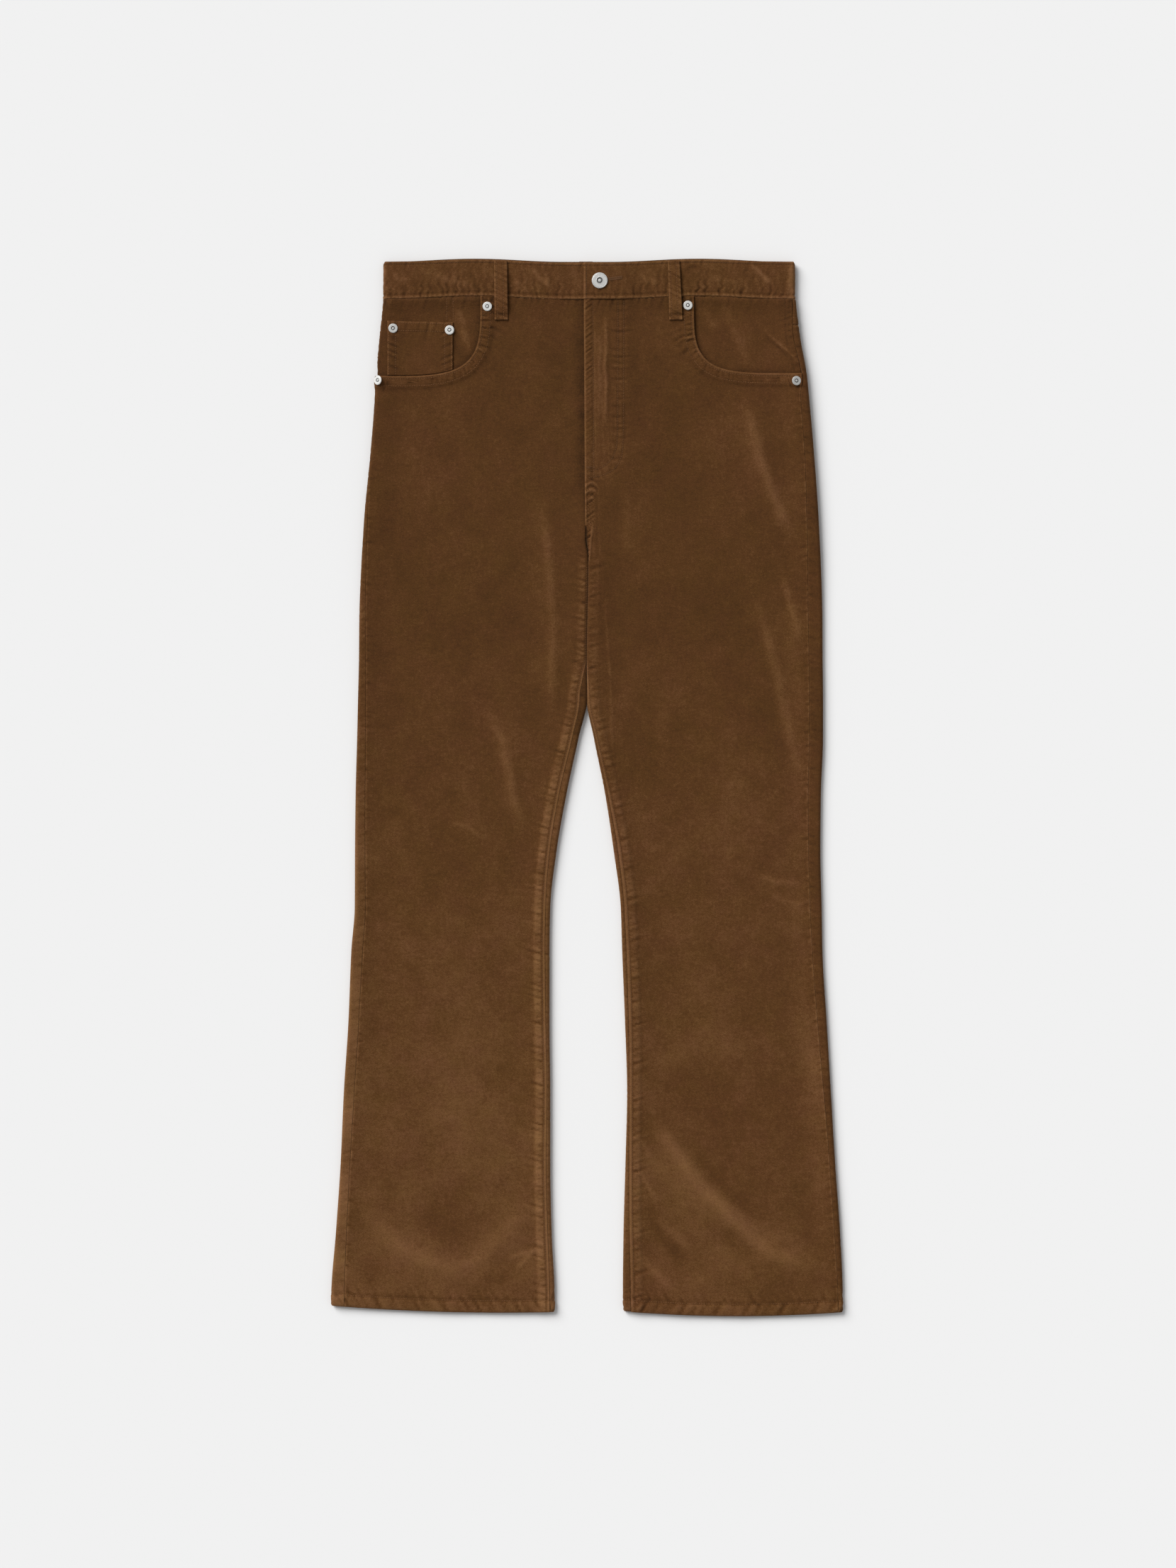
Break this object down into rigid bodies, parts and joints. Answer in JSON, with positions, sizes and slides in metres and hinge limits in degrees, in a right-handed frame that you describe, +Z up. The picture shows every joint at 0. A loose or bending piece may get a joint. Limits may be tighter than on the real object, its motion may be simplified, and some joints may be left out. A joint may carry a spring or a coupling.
{
  "type": "velvet bootcut jeans",
  "caption": "Brown velvet bootcut jeans laid flat, face up: leg panels, yokes, waistband with button, belt loops, fly zip, scooped hip pockets, coin pocket and patch pockets.",
  "frame": {"origin": "centre of the garment's outline, on the surface that it lies on", "axes": "+X to the wearer's left, +Y from hem to waist, +Z up out of the front"},
  "size_m": [0.5542, 1.1444, 0.0136],
  "materials": {
    "velvet": "short-pile brown cotton velvet",
    "zip_tape": "woven dark brown tape",
    "metal": "pale silver, satin"
  },
  "bodies": {
    "root": {"front_right": "velvet", "front_left": "velvet", "back_right": "velvet", "back_left": "velvet", "yoke_right": "velvet", "yoke_left": "velvet", "pocket_facing_right": "velvet", "pocket_facing_left": "velvet", "coin_pocket": "velvet", "back_pocket_right": "velvet", "back_pocket_left": "velvet", "waistband": "velvet", "belt_loop_front_right": "velvet", "belt_loop_front_left": "velvet", "belt_loop_side_right": "velvet", "belt_loop_side_left": "velvet", "belt_loop_back": "velvet", "zip": "zip_tape", "waist_button": "metal", "rivet_waist_right": "metal", "rivet_hip_right": "metal", "rivet_coin_outer": "metal", "rivet_coin_inner": "metal", "rivet_waist_left": "metal", "rivet_hip_left": "metal"}
  },
  "joints": []
}
